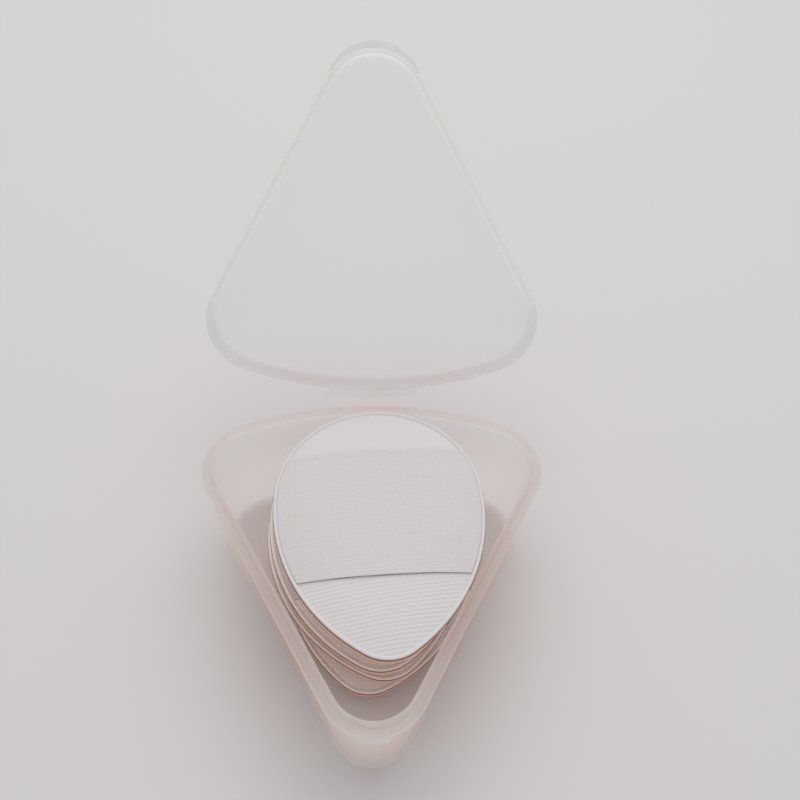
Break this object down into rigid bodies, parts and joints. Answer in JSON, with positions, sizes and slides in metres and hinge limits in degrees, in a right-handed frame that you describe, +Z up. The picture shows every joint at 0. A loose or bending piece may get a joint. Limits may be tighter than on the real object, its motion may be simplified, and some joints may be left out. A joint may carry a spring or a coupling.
{
  "type": "finger puff set in hinged case",
  "caption": "Stack of teardrop finger puffs with ribbon bands in a rounded-triangle frosted case; the shallow lid swings on a moulded strap hinge and each puff lifts out.",
  "frame": {"origin": "middle of the tray's flat underside, half way along and across the tray", "axes": "+Z up, -Y towards the tray's pointed end, +Y towards the hinge, +X to the right seen from the pointed end"},
  "size_m": [0.0764, 0.1212, 0.1019],
  "materials": {
    "tray_frosted": "frosted translucent polypropylene",
    "lid_frosted": "frosted translucent polypropylene",
    "hinge_frosted": "frosted translucent polypropylene, thin",
    "puff_skin": "soft peach polyurethane skin",
    "puff_foam": "open foam",
    "puff_cover": "white ribbed fabric",
    "puff_band": "white woven ribbon"
  },
  "bodies": {
    "case": {"case_tray": "tray_frosted", "hinge_leaf_tray": "hinge_frosted"},
    "lid": {"case_lid": "lid_frosted", "hinge_leaf_lid": "hinge_frosted"},
    "puff_1": {"puff_1_skin": "puff_skin", "puff_1_core": "puff_foam", "puff_1_cover": "puff_cover", "puff_1_band": "puff_band"},
    "puff_2": {"puff_2_skin": "puff_skin", "puff_2_core": "puff_foam", "puff_2_cover": "puff_cover", "puff_2_band": "puff_band"},
    "puff_3": {"puff_3_skin": "puff_skin", "puff_3_core": "puff_foam", "puff_3_cover": "puff_cover", "puff_3_band": "puff_band"},
    "puff_4": {"puff_4_skin": "puff_skin", "puff_4_core": "puff_foam", "puff_4_cover": "puff_cover", "puff_4_band": "puff_band"}
  },
  "joints": [
    {"name": "lid_hinge", "type": "hinge", "parent": "case", "child": "lid", "pos_m": [0, 0.03914, 0.0351], "axis": [-1, 0, 0], "range_deg": [-121.3, 58.7]},
    {"name": "puff_1_lift", "type": "slide", "parent": "case", "child": "puff_1", "axis": [0, 0, 1], "range_m": [0, 0.0376]},
    {"name": "puff_2_lift", "type": "slide", "parent": "puff_1", "child": "puff_2", "axis": [0, 0, 1], "range_m": [0, 0.0284]},
    {"name": "puff_3_lift", "type": "slide", "parent": "puff_2", "child": "puff_3", "axis": [0, 0, 1], "range_m": [0, 0.0192]},
    {"name": "puff_4_lift", "type": "slide", "parent": "puff_3", "child": "puff_4", "axis": [0, 0, 1], "range_m": [0, 0.01]}
  ]
}
